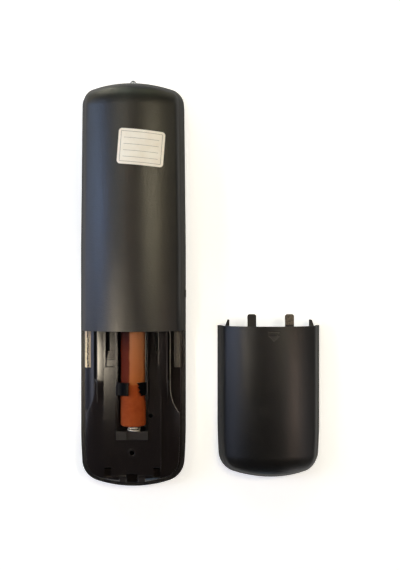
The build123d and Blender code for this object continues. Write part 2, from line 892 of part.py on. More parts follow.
def make_cell(foot_y):
    """A small cylindrical cell lying along Y, with its nub towards +Y."""
    body_head_y = foot_y + cell_length - cell_nub_height
    body = rod(cell_radius, foot_y, body_head_y, cell_shift_x, cell_z)
    body = fillet(body.edges().filter_by(GeomType.CIRCLE), cell_edge_radius)
    nub = rod(cell_nub_radius, body_head_y - cell_nub_height, foot_y + cell_length, cell_shift_x, cell_z)
    return body + nub


def spring_base_y():
    """Where the widest turn of the spring lies, against the tray's holder block."""
    return holder_head_y + spring_block_gap + spring_wire_radius


def spring_point(turn):
    """A point on the spring's centre line, after a number of turns from its base."""
    share = turn / spring_turns
    tip_y = cell_foot_y - spring_wire_radius
    radius = spring_base_radius + share * (spring_tip_radius - spring_base_radius)
    y = spring_base_y() + share * (tip_y - spring_base_y())
    angle = 2 * pi * turn
    return Vector(cell_shift_x + radius * cos(angle), y, cell_z + radius * sin(angle))


def spring_direction(turn):
    """The way the spring's centre line runs at a point."""
    step = 0.001
    return (spring_point(turn + step) - spring_point(turn - step)).normalized()


def biarc(start, start_way, end, end_way):
    """Two arcs from one point and direction to another, meeting smoothly."""
    span = end - start
    both = start_way + end_way
    lean = 2 * (1 - start_way.dot(end_way))
    reach = (sqrt(span.dot(both) ** 2 + lean * span.dot(span)) - span.dot(both)) / lean
    middle = (start + end + (start_way - end_way) * reach) * 0.5
    middle_way = (end - end_way * reach) - (start + start_way * reach)
    first = TangentArc(start, middle, tangent=start_way)
    second = TangentArc(middle, end, tangent=middle_way)
    return [first, second]


def make_spring():
    """The conical coil that presses on the lower cell, in one wire with its leg to the board."""
    quarters = round(spring_turns * 4)
    arcs = []
    for place in range(quarters):
        low = place / 4
        high = (place + 1) / 4
        arcs += biarc(spring_point(low), spring_direction(low), spring_point(high), spring_direction(high))
    path = Wire(arcs)
    way = spring_direction(0)
    section = Plane(origin=spring_point(0), z_dir=way) * Circle(spring_wire_radius)
    coil = sweep(section, path=path)
    base = spring_point(0)
    leg = post(spring_wire_radius, base.X, base.Y, board_top, base.Z)
    knuckle = Pos(base) * Sphere(spring_wire_radius)
    return coil + leg + knuckle


def spring_gap():
    """The least gap between neighbouring turns of the spring, measured on points."""
    count = 60
    points = [spring_point(spring_turns * place / count) for place in range(count + 1)]
    half_turn = count / spring_turns / 2
    gaps = [
        (points[b] - points[a]).length - 2 * spring_wire_radius
        for a in range(count + 1)
        for b in range(a + 1, count + 1)
        if b - a > half_turn
    ]
    return min(gaps)


def make_positive_contact():
    """The plate that meets the upper cell's nub, with its leg to the board."""
    low_y = cell_head_y + cell_length
    plate = slab(
        cell_shift_x - contact_width / 2,
        cell_shift_x + contact_width / 2,
        low_y,
        low_y + contact_thickness,
        tray_floor_top + tray_floor_gap,
        cell_z + cell_radius / 2,
    )
    leg = slab(
        -contact_leg_width / 2,
        contact_leg_width / 2,
        low_y,
        low_y + contact_thickness,
        board_top,
        cell_z,
    )
    return plate + leg


def make_cover(outer, inner):
    """The battery cover in its closed place, with its tabs, hooks, ribs, latch and arrow."""
    bay = slab(-FAR, FAR, -FAR, cover_edge_y, 0, FAR)
    shell = (outer - inner) & bay
    top = tab_top()
    room = outer & bay
    tab = slab(
        tab_inner_x,
        tab_inner_x + tab_width,
        cover_edge_y - tab_root,
        cover_edge_y + tab_reach,
        top - tab_thickness,
        top,
    )
    tab = fillet(tab.edges().filter_by(Axis.Z).sort_by(Axis.Y)[-2:], tab_width / 4)
    tab_hook = slab(
        tab_inner_x,
        tab_inner_x + tab_width,
        cover_edge_y + tab_reach - tab_hook_length - tab_width / 4,
        cover_edge_y + tab_reach - tab_width / 4,
        top - tab_thickness - tab_hook_depth,
        top - tab_thickness,
    )
    tab_rib = slab(
        tab_inner_x + (tab_width - tab_rib_width) / 2,
        tab_inner_x + (tab_width + tab_rib_width) / 2,
        cover_edge_y - tab_root,
        cover_edge_y,
        top - tab_thickness / 2,
        back_top,
    )
    side_rib = slab(
        cover_rib_x,
        cover_rib_x + cover_rib_thickness,
        foot_tip + cover_rib_foot_up,
        bay_edge_y - cover_rib_down,
        side_height(cover_rib_x) - rear_wall - cover_rib_depth,
        back_top,
    )
    hook_plan = [
        (hook_x, cover_edge_y - hook_root),
        (hook_x, cover_edge_y + hook_reach),
        (hook_x + hook_tip_thickness, cover_edge_y + hook_reach),
        (hook_x + hook_thickness, cover_edge_y),
        (hook_x + hook_thickness, cover_edge_y - hook_root),
    ]
    hook = prism(make_face(Polyline(hook_plan, close=True)), hook_low, hook_top)
    hook_web = slab(
        hook_x,
        hook_x + hook_thickness,
        cover_edge_y - hook_root,
        cover_edge_y,
        hook_top - hook_thickness,
        back_top,
    )
    inside = both_sides(((tab_rib + side_rib + hook_web) & room) + tab + tab_hook + hook)
    latch_foot_y = foot_tip + rear_wall
    latch = slab(
        -latch_width / 2,
        latch_width / 2,
        latch_foot_y - rear_wall / 2,
        latch_foot_y + latch_thickness,
        pocket_floor + latch_gap,
        back_top,
    )
    return shell + inside + (latch & room) - arrow_cut()


def side_height(x):
    """Height of the arched back over the table at a distance from its centre line."""
    return back_top - back_arch_radius + sqrt(back_arch_radius**2 - x**2)


def tab_top():
    """Height of the cover's tabs when it is closed, just under the back's inner surface."""
    return side_height(tab_inner_x + tab_width) - rear_wall - tab_roof_gap


def arrow_cut():
    """The shallow opening mark engraved near the cover's straight edge: a bar over an arrow head."""
    bar = Pos(0, -arrow_bar_down) * Rectangle(arrow_width, arrow_bar_height)
    left = (-arrow_width / 2, -arrow_head_down)
    right = (arrow_width / 2, -arrow_head_down)
    head = make_face(Polyline(left, right, (0, -arrow_head_down - arrow_length), close=True))
    marks = prism(bar, back_top - rear_wall, back_top + 1) + prism(head, back_top - rear_wall, back_top + 1)
    return Pos(arrow_shift_x, bay_edge_y, 0) * marks - back_loaf(arrow_depth)


def make_label():
    """The paper label on the arched back."""
    sheet = RectangleRounded(label_width, label_length, label_corner_radius)
    sheet = Pos(label_x, head_tip - label_down) * Rot(0, 0, label_turn) * sheet
    return (prism(sheet, front_depth, back_top + 1) & back_loaf(-label_thickness)) - back_loaf(0)


def make_led():
    """The clear infrared diode in the end of the case, with its two leads."""
    dome_y = head_tip + led_reach - led_radius
    flange_y = head_tip - led_flange_down
    diode = rod(led_radius, flange_y, dome_y, 0, front_depth)
    diode = diode + Pos(0, dome_y, front_depth) * Sphere(led_radius)
    diode = diode + rod(led_flange_radius, flange_y, flange_y + led_flange_length, 0, front_depth)
    for x in (-lead_spread, lead_spread):
        along = slab(
            x - lead_width / 2,
            x + lead_width / 2,
            lead_bend_y,
            flange_y,
            front_depth - lead_width / 2,
            front_depth + lead_width / 2,
        )
        down = slab(
            x - lead_width / 2,
            x + lead_width / 2,
            lead_bend_y,
            lead_bend_y + lead_width,
            board_top,
            front_depth + lead_width / 2,
        )
        diode = diode + along + down
    return diode


def standing_block(width, length, height, x, y):
    """A block that stands on the circuit board."""
    return Pos(x, y, board_top) * Box(width, length, height, align=(Align.CENTER, Align.CENTER, Align.MIN))


def make_chip():
    """The controller chip, with a row of leads on each long side."""
    chip_y = tray_end_y + chip_up
    chip = standing_block(chip_width, chip_length, chip_height, chip_x, chip_y)
    first_y = chip_y - chip_lead_pitch * (chip_lead_count - 1) / 2
    for place in range(chip_lead_count):
        y = first_y + place * chip_lead_pitch
        for side in (-1, 1):
            x = chip_x + side * (chip_width + chip_lead_reach) / 2
            chip = chip + standing_block(chip_lead_reach, chip_lead_width, chip_lead_height, x, y)
    return chip


def make_resonator():
    """The ceramic resonator that times the infrared signal."""
    y = tray_end_y + resonator_up
    body = standing_block(resonator_width, resonator_depth, resonator_height, resonator_x, y)
    return fillet(body.edges().filter_by(Axis.Z), resonator_depth / 3)


def make_capacitor():
    """The round electrolytic capacitor that feeds the diode."""
    y = tray_end_y + capacitor_up
    can = post(capacitor_radius, capacitor_x, y, board_top, board_top + capacitor_height)
    return fillet(can.edges().filter_by(GeomType.CIRCLE), capacitor_radius / 8)


def make_transistor():
    """The transistor that drives the diode, a cylinder with one flat side."""
    y = head_tip - transistor_down
    body = post(transistor_radius, transistor_x, y, board_top, board_top + transistor_height)
    return body - slab(-FAR, FAR, y + transistor_radius / 2, FAR, 0, FAR)


def make_small_parts():
    """A row of small resistors beside the capacitor."""
    parts = []
    for place in range(small_part_count):
        y = head_tip - small_part_down + place * small_part_pitch
        part = standing_block(small_part_width, small_part_length, small_part_height, small_part_x, y)
        parts.append(part)
    return Compound(parts)


def build():
    """Every piece of the remote by name, in its place on the table."""
    outer, inner = make_case_back()
    keys = key_layout()
    hole_faces = [Pos(x, y) * offset(outline, key_hole_gap) for outline, x, y in keys.values()]
    key_holes = Sketch() + hole_faces
    case = {
        "rear_shell": make_rear_shell(outer, inner),
        "front_shell": make_front_shell(key_holes),
        "face_panel": make_face_panel(key_holes),
        "keypad_mat": make_mat([(x, y) for _, x, y in keys.values()]),
        "circuit_board": make_board(),
        "infrared_diode": make_led(),
        "controller_chip": make_chip(),
        "ceramic_resonator": make_resonator(),
        "storage_capacitor": make_capacitor(),
        "driver_transistor": make_transistor(),
        "small_resistors": make_small_parts(),
        "battery_tray": make_tray(),
        "lower_cell": make_cell(cell_foot_y),
        "upper_cell": make_cell(cell_head_y),
        "negative_spring": make_spring(),
        "positive_contact": make_positive_contact(),
        "paper_label": make_label(),
    }
    for name, (outline, x, y) in keys.items():
        case[name] = Pos(x, y, 0) * make_key(outline)
    placed = {name: Pos(case_x, case_y, 0) * shape for name, shape in case.items()}
    placed["battery_cover"] = Pos(cover_x, cover_y, -front_depth) * make_cover(outer, inner)
    return placed


os.makedirs("parts", exist_ok=True)
for node, shape in build().items():
    export_step(shape, f"parts/{node}.step")
print("least gap between the turns of the spring, mm:", round(spring_gap(), 2))
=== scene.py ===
"""The looks of the remote control: materials, printed marks, soft studio light and the camera.

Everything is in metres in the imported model's frame. The remote lies face down at -X with its
infrared end towards +Y, and its battery cover lies beside it at +X.
"""
import math

import bmesh
import bpy
from mathutils import Matrix, Vector


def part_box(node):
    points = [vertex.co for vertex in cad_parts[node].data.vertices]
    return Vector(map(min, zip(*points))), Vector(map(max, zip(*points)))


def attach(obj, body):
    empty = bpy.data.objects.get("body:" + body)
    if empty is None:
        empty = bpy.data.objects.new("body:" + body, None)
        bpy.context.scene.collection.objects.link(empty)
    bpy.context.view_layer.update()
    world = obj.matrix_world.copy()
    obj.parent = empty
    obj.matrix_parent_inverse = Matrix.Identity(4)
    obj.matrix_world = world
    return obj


MM = 0.001

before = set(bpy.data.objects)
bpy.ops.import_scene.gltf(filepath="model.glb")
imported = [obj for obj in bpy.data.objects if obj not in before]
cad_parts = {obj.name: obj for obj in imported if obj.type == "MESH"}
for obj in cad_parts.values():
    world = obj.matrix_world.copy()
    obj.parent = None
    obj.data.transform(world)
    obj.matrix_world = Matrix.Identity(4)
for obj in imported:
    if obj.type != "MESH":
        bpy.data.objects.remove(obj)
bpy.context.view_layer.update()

# Places and sizes of the solids, in millimetres
case_x = -29.45
case_y = -0.65
cover_x = 29.45
cover_y = 1.25
front_depth = 8.5
back_top = 23.0
back_arch_radius = 34.65
bay_edge = -19.3
bay_edge_y = bay_edge + case_y
cover_edge_y = bay_edge + cover_y
mark_depth = 0.3
label_x = 4.4 + case_x
label_y = 56.5 + case_y
label_turn = math.radians(-4.5)
label_width = 19.0
label_length = 14.6
label_rise = 0.15
cell_x = case_x + 0.45
cell_z = 13.6
strap_head_y = bay_edge_y - 21.4
key_face_z = 0.3
panel_top_z = 14.0

# Places in the bay, as offsets to either side of the case's axis
panel_half_width = 12.1
rail_outer_x = 14.8
flank_outer_x = 16.5
block_inner_x = 17.55
rib_inner_x = 2.4
rib_outer_x = 5.6

# Limits between one look and the next, in millimetres
mark_low_z = 12.5
mark_reach = 5.0
mark_near_edge = 1.6
mark_far_edge = 8.0
tab_root = 0.4
hook_inner_x = 13.0
block_foot_y = bay_edge_y - 15.95
block_ridge_x = 19.4
block_crack_x = 19.15
block_shade_x = 18.7
crack_half_width = 0.26
rib_head_y = -79.8 + case_y
rib_foot_y = -83.5 + case_y
strap_low_z = 16.4
strap_margin = 0.3
tray_wall_z = 17.3
spring_block_y = bay_edge_y - 42.5
spring_block_z = 13.6
# The edge of the painted shadow and the foot of the painted light on the cell's sleeve
wall_shadow_edge_x = cell_x - 1.05
wall_shadow_fade_length = 9.0
lit_field_foot_y = strap_head_y - 1.0
can_end_radius = 4.45

# Rails beside the bay's panel: a crowned skin with a run-out at the foot
rail_foot_y = bay_edge_y - 20.7
rail_tuck = 0.6
rail_straight_end = 2.0
rail_run_out = 12.0
rail_drop = 1.7
rail_skin = 0.02
rail_crown = 0.004
rail_edge_radius = 0.2
rail_edge_drop = 0.32
rail_side_depth = 1.2
rail_columns = 12
rail_rows = 20

# Sloped floor of the left side pocket
slope_inner_x = 16.5
slope_outer_x = 20.5
slope_high_z = 11.7
slope_low_z = 9.8
slope_base_z = 9.0
slope_sag = 0.35
slope_tuck = 0.5
slope_length = 34.0
slope_columns = 8

# Lip along the edge of the right side pocket
pocket_edge_x = 16.1
pocket_bend_radius = 18.94
pocket_bend_turn = math.asin(10.9 / pocket_bend_radius)
pocket_bend_down = 24.0
bead_tuck = 0.3
bead_straight = 23.3
bead_radius = 0.2
bead_sink = 0.05
bead_sides = 8
probe_inset = 0.25
probe_height = 30.0
probe_missed_z = 12.0

# Print on the keys and on the label
stroke = 0.42
ink_thickness = 0.03
digit_size = 4.6
digit_swell = 0.05
border_margin = 1.1
border_width = 0.16
line_pitch = 2.6
line_inset = 1.2
line_width = 0.14
line_lift = 0.008
line_steps = 24

# The camera looks straight down. Its focal length is in pixels of a frame 570 pixels high.
camera_place = (-0.75, -0.7, 320.0)
focal_pixels = 724.2
frame_height_pixels = 570.0

# How bright the floor shines to the camera, and the room's level elsewhere. What glossy surfaces see of
# the room is white below one upward slope of the ray and dark above another.
floor_glow = 0.55
room_level = 0.01
room_white_top = 0.02
room_dark_foot = 0.06


def new_material(name):
    """A material with an empty node tree, its main shader and its output."""
    material = bpy.data.materials.new(name)
    material.use_nodes = True
    nodes = material.node_tree.nodes
    nodes.clear()
    output = nodes.new("ShaderNodeOutputMaterial")
    shader = nodes.new("ShaderNodeBsdfPrincipled")
    material.node_tree.links.new(shader.outputs["BSDF"], output.inputs["Surface"])
    return material, shader


def link(material, source, target):
    """Joins two sockets."""
    material.node_tree.links.new(source, target)


def add(material, kind, **values):
    """A new node with some of its properties or input values set."""
    node = material.node_tree.nodes.new(kind)
    for key, value in values.items():
        if key in node.inputs:
            node.inputs[key].default_value = value
        else:
            setattr(node, key, value)
    return node


def place(material):
    """The point on the surface, in millimetres of the model's frame."""
    coordinates = add(material, "ShaderNodeTexCoord")
    scale = add(material, "ShaderNodeVectorMath", operation="SCALE")
    scale.inputs["Scale"].default_value = 1000.0
    link(material, coordinates.outputs["Object"], scale.inputs[0])
    return scale.outputs["Vector"]


def noise(material, vector, scale, detail=3.0, roughness=0.6):
    """Noise with a given number of waves per millimetre."""
    node = add(material, "ShaderNodeTexNoise", Scale=scale, Detail=detail, Roughness=roughness)
    link(material, vector, node.inputs["Vector"])
    return node.outputs["Fac"]


def remap(material, value, low, high, to_low, to_high):
    """A value brought from one range to another, clamped to it."""
    node = add(material, "ShaderNodeMapRange")
    node.inputs["From Min"].default_value = low
    node.inputs["From Max"].default_value = high
    node.inputs["To Min"].default_value = to_low
    node.inputs["To Max"].default_value = to_high
    link(material, value, node.inputs["Value"])
    return node.outputs["Result"]


def math_node(material, operation, a, b=None):
    """One arithmetic step on two sockets or numbers."""
    node = add(material, "ShaderNodeMath", operation=operation)
    for slot, value in enumerate((a, b)):
        if value is None:
            continue
        if isinstance(value, (int, float)):
            node.inputs[slot].default_value = value
        else:
            link(material, value, node.inputs[slot])
    return node.outputs["Value"]


def product(material, first, *others):
    """Sockets or numbers multiplied together."""
    for value in others:
        first = math_node(material, "MULTIPLY", first, value)
    return first


def total(material, first, *others):
    """Sockets or numbers added together."""
    for value in others:
        first = math_node(material, "ADD", first, value)
    return first


def above(material, value, limit):
    """A mask that is 1 where a value is over a limit."""
    return math_node(material, "GREATER_THAN", value, limit)


def below(material, value, limit):
    """A mask that is 1 where a value is under a limit."""
    return math_node(material, "LESS_THAN", value, limit)


def opposite(material, mask):
    """A mask that is 1 where another is 0."""
    return math_node(material, "SUBTRACT", 1.0, mask)


def distance(material, across, upward):
    """The length of a vector from its two parts."""
    squares = total(material, product(material, across, across), product(material, upward, upward))
    return math_node(material, "SQRT", squares)


def blend_colours(material, factor, a, b):
    """A colour between two colours or sockets."""
    node = add(material, "ShaderNodeMix", data_type="RGBA")
    link(material, factor, node.inputs["Factor"])
    for name, value in (("A", a), ("B", b)):
        socket = [s for s in node.inputs if s.name == name and s.type == "RGBA"][0]
        if isinstance(value, tuple):
            socket.default_value = value + (1.0,)
        else:
            link(material, value, socket)
    return [s for s in node.outputs if s.type == "RGBA"][0]


def mottle(material, value, low, high, a, b):
    """A colour that goes from one to another as a value goes from low to high."""
    return blend_colours(material, remap(material, value, low, high, 0.0, 1.0), a, b)


def axis_values(material, vector):
    """The three parts of a vector."""
    node = add(material, "ShaderNodeSeparateXYZ")
    link(material, vector, node.inputs[0])
    return node.outputs


def bump(material, shader, height, distance_mm, rounding_mm=0.0):
    """Adds relief to a shader, and softens its edges by a rounding."""
    node = add(material, "ShaderNodeBump", Distance=distance_mm * MM)
    link(material, height, node.inputs["Height"])
    link(material, node.outputs["Normal"], shader.inputs["Normal"])
    if rounding_mm:
        soft = add(material, "ShaderNodeBevel", samples=6, Radius=rounding_mm * MM)
        link(material, soft.outputs["Normal"], node.inputs["Normal"])


def wall_roughness(material):
    """How much rougher a surface is where it stands steeply, which keeps walls darker than the back."""
    coordinates = add(material, "ShaderNodeTexCoord")
    normal = axis_values(material, coordinates.outputs["Normal"])
    level = math_node(material, "ABSOLUTE", normal[2])
    return remap(material, level, 0.35, 0.70, 0.5, 0.0)


def satin_plastic(
    name, colour, roughness, grain=1.1, relief=0.035, spread=0.25, rounding=0.0, walls=False
):
    """Moulded plastic with a fine spark-eroded grain and faint handling marks."""
    material, shader = new_material(name)
    where = place(material)
    fine = noise(material, where, grain, 2.0, 0.7)
    broad = noise(material, where, 0.07, 3.0, 0.55)
    shade = remap(material, broad, 0.3, 0.7, 1.0 - spread, 1.0 + spread)
    tint = add(material, "ShaderNodeVectorMath", operation="SCALE")
    tint.inputs[0].default_value = colour
    link(material, shade, tint.inputs["Scale"])
    link(material, tint.outputs["Vector"], shader.inputs["Base Color"])
    rough = remap(material, broad, 0.25, 0.75, roughness - 0.03, roughness + 0.04)
    if walls:
        rough = total(material, rough, wall_roughness(material))
    link(material, rough, shader.inputs["Roughness"])
    bump(material, shader, fine, relief, rounding)
    return material


def rear_shell_material():
    """The arched back is satin and grained; the floor of its battery bay is smooth and worn at the sides,
    with painted light and painted shade on its side blocks and painted shade on the rails' flanks.
    """
    material, shader = new_material("rear_shell_plastic")
    where = place(material)
    x, y, _ = axis_values(material, where)
    fine = noise(material, where, 1.1, 3.0, 0.75)
    broad = noise(material, where, 0.07, 3.0, 0.55)
    scuffs = noise(material, where, 1.6, 4.0, 0.7)

    in_bay = below(material, y, bay_edge_y - 0.02)
    outside = mottle(material, broad, 0.3, 0.7, (0.0050, 0.0046, 0.0043), (0.0066, 0.0061, 0.0057))
    floor = mottle(material, broad, 0.3, 0.7, (0.0098, 0.0076, 0.0078), (0.0118, 0.0094, 0.0095))

    # The raised blocks at the bay's top corners are worn to a dusty tan, painted much paler on the left
    # block as lit and darker on the right block as shaded
    from_axis = math_node(material, "ABSOLUTE", math_node(material, "SUBTRACT", x, case_x))
    on_block = product(
        material, above(material, from_axis, block_inner_x), above(material, y, block_foot_y), in_bay
    )
    wear = product(material, on_block, remap(material, scuffs, 0.34, 0.54, 0.55, 1.0))
    on_left = below(material, x, case_x)
    dust_and_painted_light = blend_colours(material, on_left, (0.056, 0.046, 0.033), (0.400, 0.330, 0.235))

    # The left block has a painted highlight on a ridge beside a wavy crack, and the right one's inner part
    # has painted shade
    lumps = noise(material, where, 0.55, 2.0)
    wobble = product(material, math_node(material, "SUBTRACT", lumps, 0.5), 1.1)
    ridge = total(material, from_axis, wobble)
    ridge_highlight = product(material, on_left, above(material, ridge, block_ridge_x))
    dust_and_painted_light = blend_colours(material, ridge_highlight, dust_and_painted_light, (0.760, 0.670, 0.510))
    from_crack = math_node(material, "ABSOLUTE", math_node(material, "SUBTRACT", ridge, block_crack_x))
    in_crack = product(material, on_left, below(material, from_crack, crack_half_width))
    dust_and_painted_light = blend_colours(material, in_crack, dust_and_painted_light, (0.012, 0.010, 0.007))
    shade_edge = math_node(material, "SUBTRACT", block_shade_x, wobble)
    in_shade = product(material, below(material, from_axis, shade_edge), opposite(material, on_left))
    dust_and_painted_light = blend_colours(material, in_shade, dust_and_painted_light, (0.018, 0.015, 0.012))
    floor = blend_colours(material, wear, floor, dust_and_painted_light)

    # The ribs at the bay's foot are paler than the floor, and the rails' outer flanks are painted black as
    # shade
    on_rib = product(
        material,
        below(material, from_axis, rib_outer_x),
        above(material, from_axis, rib_inner_x),
        remap(material, y, rib_foot_y, rib_head_y, 1.0, 0.0),
    )
    floor = blend_colours(material, on_rib, floor, (0.028, 0.025, 0.025))
    shaded_flank = product(
        material,
        above(material, from_axis, rail_outer_x),
        below(material, from_axis, flank_outer_x),
        above(material, y, rail_foot_y),
        in_bay,
    )
    floor = blend_colours(material, shaded_flank, floor, (0.0020, 0.0018, 0.0018))
    link(material, blend_colours(material, in_bay, outside, floor), shader.inputs["Base Color"])

    satin = remap(material, broad, 0.25, 0.75, 0.33, 0.38)
    smooth = remap(material, broad, 0.3, 0.7, 0.10, 0.125)
    inner = product(material, smooth, in_bay)
    outer = product(material, total(material, satin, wall_roughness(material)), opposite(material, in_bay))
    wear_rough = product(material, wear, 0.35)
    flank_rough = product(material, shaded_flank, 0.6)
    rough = total(material, inner, outer, wear_rough, flank_rough)
    link(material, rough, shader.inputs["Roughness"])
    link(material, shaded_flank, shader.inputs["Metallic"])
    grain = product(material, fine, remap(material, in_bay, 0.0, 1.0, 1.0, 0.012))
    bump(material, shader, total(material, grain, product(material, wear, 0.5)), 0.08, 0.28)
    return material


def cover_material():
    """The cover's satin plastic, with dust in its engraved mark and on the tab that is worn."""
    material = satin_plastic("cover_plastic", (0.0042, 0.0038, 0.0036), 0.35, rounding=0.25, walls=True)
    shader = [n for n in material.node_tree.nodes if n.type == "BSDF_PRINCIPLED"][0]
    clean = shader.inputs["Base Color"].links[0].from_socket
    where = place(material)
    x, y, z = axis_values(material, where)
    across = math_node(material, "SUBTRACT", x, cover_x)
    upward = total(material, z, back_arch_radius - (back_top - front_depth))
    radius = distance(material, across, upward)
    in_mark = product(
        material,
        below(material, radius, back_arch_radius - mark_depth / 2),
        above(material, z, mark_low_z),
        below(material, across, mark_reach),
        above(material, across, -mark_reach),
        below(material, y, cover_edge_y - mark_near_edge),
        above(material, y, cover_edge_y - mark_far_edge),
    )
    dusty = blend_colours(material, in_mark, clean, (0.024, 0.022, 0.020))
    speckle = noise(material, where, 1.4, 4.0, 0.7)
    on_tab = product(
        material,
        above(material, y, cover_edge_y + tab_root),
        above(material, across, 0.0),
        below(material, across, hook_inner_x),
        remap(material, speckle, 0.38, 0.55, 0.2, 1.0),
    )
    dusty = blend_colours(material, on_tab, dusty, (0.120, 0.092, 0.066))
    link(material, dusty, shader.inputs["Base Color"])
    return material


def rubber_material(name, colour):
    """Matt silicone rubber with a soft bloom."""
    material, shader = new_material(name)
    where = place(material)
    broad = noise(material, where, 0.5, 3.0)
    dull = tuple(0.86 * c for c in colour)
    bright = tuple(min(1.0, 1.1 * c + 0.002) for c in colour)
    link(material, mottle(material, broad, 0.3, 0.7, dull, bright), shader.inputs["Base Color"])
    shader.inputs["Roughness"].default_value = 0.62
    bump(material, shader, noise(material, where, 6.0, 2.0), 0.01)
    return material


def metal_material(name, colour, roughness, metallic=1.0):
    """Plated metal with a little tarnish."""
    material, shader = new_material(name)
    where = place(material)
    broad = noise(material, where, 1.3, 4.0)
    dull = tuple(0.72 * c for c in colour)
    link(material, mottle(material, broad, 0.35, 0.7, colour, dull), shader.inputs["Base Color"])
    shader.inputs["Metallic"].default_value = metallic
    rough = remap(material, broad, 0.3, 0.7, roughness - 0.06, roughness + 0.12)
    link(material, rough, shader.inputs["Roughness"])
    bump(material, shader, noise(material, where, 9.0, 2.0), 0.006)
    return material


def cell_material():
    """A printed orange sleeve shrunk over a metal can; above the strap it carries painted light, a pale
    orange-brown lit field, and a dark reddish painted shadow of the channel's wall.
    """
    material, shader = new_material("cell_sleeve")
    where = place(material)
    x, y, z = axis_values(material, where)
    broad = noise(material, where, 0.35, 4.0)
    scuffs = noise(material, where, 2.5, 4.0, 0.7)
    orange = mottle(material, broad, 0.3, 0.7, (0.225, 0.038, 0.008), (0.270, 0.055, 0.013))
    # Above the strap: painted light, brighter towards the bay's edge, and a painted shadow of the channel's
    # left wall, darker towards the bay's edge
    tan = mottle(material, y, strap_head_y, bay_edge_y, (0.290, 0.086, 0.025), (0.320, 0.128, 0.060))
    wall_shadow_foot_y = bay_edge_y - wall_shadow_fade_length
    wall_shadow = mottle(material, y, wall_shadow_foot_y, bay_edge_y, (0.090, 0.013, 0.005), (0.014, 0.003, 0.002))
    wander = product(material, math_node(material, "SUBTRACT", broad, 0.5), 0.8)
    wall_shadow_edge = total(material, x, wander, -wall_shadow_edge_x)
    painted_light_and_shadow = blend_colours(material, remap(material, wall_shadow_edge, -0.35, 0.35, 1.0, 0.0), tan, wall_shadow)
    field_edge = total(material, y, -lit_field_foot_y)
    sleeve = mottle(material, field_edge, -0.3, 0.3, orange, painted_light_and_shadow)
    worn = remap(material, scuffs, 0.62, 0.78, 0.0, 0.35)
    sleeve = blend_colours(material, worn, sleeve, (0.20, 0.05, 0.02))
    across = math_node(material, "SUBTRACT", x, cell_x)
    upward = math_node(material, "SUBTRACT", z, cell_z)
    bare = below(material, distance(material, across, upward), can_end_radius)
    link(material, blend_colours(material, bare, sleeve, (0.55, 0.53, 0.50)), shader.inputs["Base Color"])
    link(material, bare, shader.inputs["Metallic"])
    link(material, remap(material, scuffs, 0.3, 0.7, 0.36, 0.46), shader.inputs["Roughness"])
    shader.inputs["Specular IOR Level"].default_value = 0.05
    bump(material, shader, broad, 0.05)
    return material


def paper_material():
    """Coated label paper, faintly yellowed in broad patches, with a few soft creases."""
    material, shader = new_material("label_paper")
    where = place(material)
    broad = noise(material, where, 0.22, 4.0)
    fibre = noise(material, where, 7.0, 3.0)
    colour = mottle(material, broad, 0.35, 0.7, (0.93, 0.89, 0.83), (0.87, 0.81, 0.72))
    link(material, colour, shader.inputs["Base Color"])
    shader.inputs["Roughness"].default_value = 0.55
    creases = total(material, product(material, broad, 3.0), fibre)
    bump(material, shader, creases, 0.012)
    return material


def clear_resin_material():
    """Water-white resin that lets the leads show."""
    material, shader = new_material("clear_resin")
    shader.inputs["Base Color"].default_value = (0.93, 0.95, 0.97, 1.0)
    shader.inputs["Transmission Weight"].default_value = 0.92
    shader.inputs["IOR"].default_value = 1.5
    where = place(material)
    rough = remap(material, noise(material, where, 1.5), 0.3, 0.7, 0.05, 0.16)
    link(material, rough, shader.inputs["Roughness"])
    return material


def board_material():
    """Phenolic board under a dark green lacquer, with a faint weave."""
    material, shader = new_material("board_laminate")
    where = place(material)
    weave = noise(material, where, 1.8, 4.0)
    colour = mottle(material, weave, 0.3, 0.7, (0.008, 0.016, 0.008), (0.014, 0.026, 0.012))
    link(material, colour, shader.inputs["Base Color"])
    shader.inputs["Roughness"].default_value = 0.4
    bump(material, shader, weave, 0.02)
    return material


def tray_material():
    """Smooth black plastic, with a painted highlight on the top of one wall, matt on the broken strap and
    grey behind the spring.
    """
    material, shader = new_material("tray_plastic")
    where = place(material)
    x, y, z = axis_values(material, where)
    smears = noise(material, where, 0.5, 4.0)
    colour = mottle(material, smears, 0.4, 0.7, (0.0094, 0.0074, 0.0074), (0.0112, 0.0092, 0.0090))
    on_block = product(material, below(material, y, spring_block_y), above(material, z, spring_block_z))
    colour = blend_colours(material, on_block, colour, (0.034, 0.031, 0.030))
    # The top of the channel's left wall is painted pale as a highlight
    wall_top_highlight = product(
        material,
        above(material, z, tray_wall_z),
        below(material, x, cell_x),
        above(material, y, strap_head_y),
    )
    colour = blend_colours(material, wall_top_highlight, colour, (0.230, 0.195, 0.145))
    on_strap = product(
        material, above(material, z, strap_low_z), below(material, y, strap_head_y + strap_margin)
    )
    colour = blend_colours(material, on_strap, colour, (0.0045, 0.0044, 0.0045))
    link(material, colour, shader.inputs["Base Color"])
    rough = remap(material, smears, 0.35, 0.7, 0.10, 0.14)
    rough = total(material, rough, product(material, on_strap, 0.2))
    link(material, rough, shader.inputs["Roughness"])
    link(material, on_strap, shader.inputs["Metallic"])
    bump(material, shader, smears, 0.01, 0.25)
    return material


def print_material(name, colour):
    """Printed ink, slightly uneven."""
    material, shader = new_material(name)
    where = place(material)
    spots = noise(material, where, 5.0, 3.0)
    faded = tuple(0.75 * c + 0.06 for c in colour)
    link(material, mottle(material, spots, 0.45, 0.7, colour, faded), shader.inputs["Base Color"])
    shader.inputs["Roughness"].default_value = 0.5
    return material


